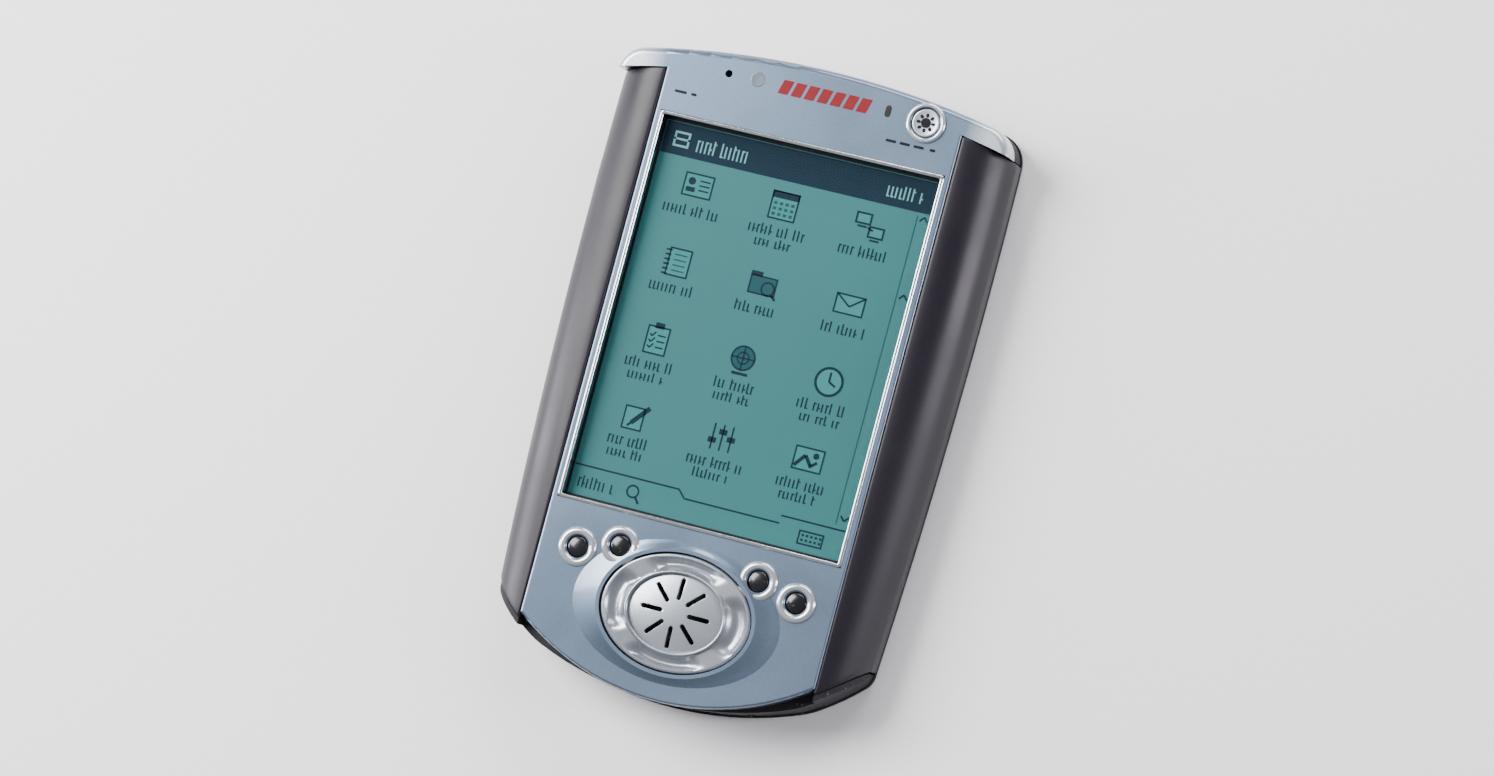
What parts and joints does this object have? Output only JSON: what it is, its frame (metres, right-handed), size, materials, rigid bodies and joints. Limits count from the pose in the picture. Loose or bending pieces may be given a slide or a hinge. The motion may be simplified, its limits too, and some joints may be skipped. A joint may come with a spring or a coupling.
{
  "type": "personal digital assistant",
  "caption": "Handheld computer with a recessed monochrome touch display, a rocking navigation pad round a speaker, application keys, side grips and a stored stylus.",
  "frame": {"origin": "middle of the back face, as it lies on a table", "axes": "+X to the right seen from the front, +Y to the top end with the stylus, +Z out of the screen"},
  "size_m": [0.0834, 0.13, 0.0159],
  "materials": {
    "silver_shell": "satin metallic blue-grey lacquer on moulded plastic",
    "dark_shell": "fine-textured dark plum-grey plastic",
    "grip_rubber": "soft-touch plum-black coating",
    "bright_trim": "bright plated trim",
    "touch_glass": "clear resistive touch glass, slight haze",
    "lcd_teal": "reflective monochrome teal display",
    "steel": "thin stamped steel",
    "circuit_board": "green solder mask",
    "chip_black": "black moulded package",
    "flex_amber": "amber polyimide ribbon",
    "tape_white": "foam tape",
    "gasket_black": "black foam gasket",
    "backlight_film": "electroluminescent sheet",
    "cell_wrap": "laminated foil pouch",
    "nav_silver": "bright silver lacquer",
    "grille_silver": "satin silver disc",
    "key_black": "gloss black domed key",
    "key_silver": "satin silver key",
    "nylon_grey": "moulded grey nylon",
    "mat_rubber": "grey silicone mat",
    "lens_clear": "clear moulded lens",
    "lens_smoke": "dark infrared-pass plastic",
    "connector_black": "black connector plastic",
    "stylus_grey": "dark grey stylus plastic",
    "stylus_tip_black": "soft black tip"
  },
  "bodies": {
    "case": {"backlight_sheet": "backlight_film", "battery": "cell_wrap", "battery_lead": "gasket_black", "battery_tape": "tape_white", "case_screws": "steel", "charge_led": "lens_clear", "charge_light_pipe": "lens_clear", "dc_jack": "connector_black", "display_frame": "bright_trim", "dock_connector": "connector_black", "expansion_connector": "connector_black", "front_bezel": "silver_shell", "headphone_jack": "connector_black", "ir_transceiver": "chip_black", "ir_window": "lens_smoke", "key_board": "circuit_board", "key_board_stands": "steel", "key_mat": "mat_rubber", "lcd_flex": "flex_amber", "lcd_panel": "lcd_teal", "lcd_tray": "steel", "light_sensor": "chip_black", "light_sensor_lens": "lens_smoke", "main_board": "circuit_board", "memory_chips": "chip_black", "microphone": "steel", "microphone_boot": "gasket_black", "panel_tape": "gasket_black", "power_supply_shield": "steel", "power_switch": "chip_black", "processor": "chip_black", "rear_housing": "dark_shell", "record_switch": "chip_black", "reset_switch": "chip_black", "side_grip_left": "grip_rubber", "side_grip_right": "grip_rubber", "speaker": "chip_black", "stylus_silo": "nylon_grey", "touch_flex": "flex_amber", "touch_panel": "touch_glass", "window_gasket": "gasket_black"},
    "power_key": {"power_button": "key_silver"},
    "record_key": {"record_button": "key_black"},
    "reset_key": {"reset_button": "key_black"},
    "nav_slider": {"nav_guide_ring": "nylon_grey"},
    "nav_cross": {"nav_pivot_ring": "nylon_grey"},
    "nav_rocker": {"nav_pad": "nav_silver", "speaker_grille": "grille_silver"},
    "stylus": {"stylus_tip": "stylus_tip_black", "stylus_barrel": "stylus_grey", "stylus_head": "stylus_grey"},
    "latch": {"stylus_latch": "key_black", "latch_spring": "steel"},
    "app_key_1": {"app_button_1": "key_black"},
    "app_key_2": {"app_button_2": "key_black"},
    "app_key_3": {"app_button_3": "key_black"},
    "app_key_4": {"app_button_4": "key_black"}
  },
  "joints": [
    {"name": "power_press", "type": "slide", "parent": "case", "child": "power_key", "axis": [0, 0, -1], "range_m": [0, 0.0004], "stiffness_N_per_m": 250},
    {"name": "app_press_1", "type": "slide", "parent": "case", "child": "app_key_1", "axis": [0, 0, -1], "range_m": [0, 0.0005], "stiffness_N_per_m": 250},
    {"name": "app_press_2", "type": "slide", "parent": "case", "child": "app_key_2", "axis": [0, 0, -1], "range_m": [0, 0.0005], "stiffness_N_per_m": 250},
    {"name": "app_press_3", "type": "slide", "parent": "case", "child": "app_key_3", "axis": [0, 0, -1], "range_m": [0, 0.0005], "stiffness_N_per_m": 250},
    {"name": "app_press_4", "type": "slide", "parent": "case", "child": "app_key_4", "axis": [0, 0, -1], "range_m": [0, 0.0005], "stiffness_N_per_m": 250},
    {"name": "record_press", "type": "slide", "parent": "case", "child": "record_key", "axis": [1, 0, 0], "range_m": [0, 0.0004], "stiffness_N_per_m": 250},
    {"name": "reset_press", "type": "slide", "parent": "case", "child": "reset_key", "axis": [0, 1, 0], "range_m": [0, 0.0004], "stiffness_N_per_m": 250},
    {"name": "nav_press", "type": "slide", "parent": "case", "child": "nav_slider", "axis": [0, 0, -1], "range_m": [0, 0.0004], "stiffness_N_per_m": 400},
    {"name": "nav_tilt_left_right", "type": "hinge", "parent": "nav_slider", "child": "nav_cross", "pos_m": [0, -0.047, 0.0119], "axis": [0, 1, 0], "range_deg": [-2.5, 2.5], "stiffness_Nm_per_rad": 0.05},
    {"name": "nav_tilt_up_down", "type": "hinge", "parent": "nav_cross", "child": "nav_rocker", "pos_m": [0, -0.047, 0.0119], "axis": [1, 0, 0], "range_deg": [-2.5, 2.5], "stiffness_Nm_per_rad": 0.05},
    {"name": "stylus_draw", "type": "slide", "parent": "case", "child": "stylus", "axis": [0, 1, 0], "range_m": [0, 0.116]},
    {"name": "latch_press", "type": "slide", "parent": "case", "child": "latch", "axis": [0, -1, 0], "range_m": [0, 0.0012], "stiffness_N_per_m": 250}
  ]
}
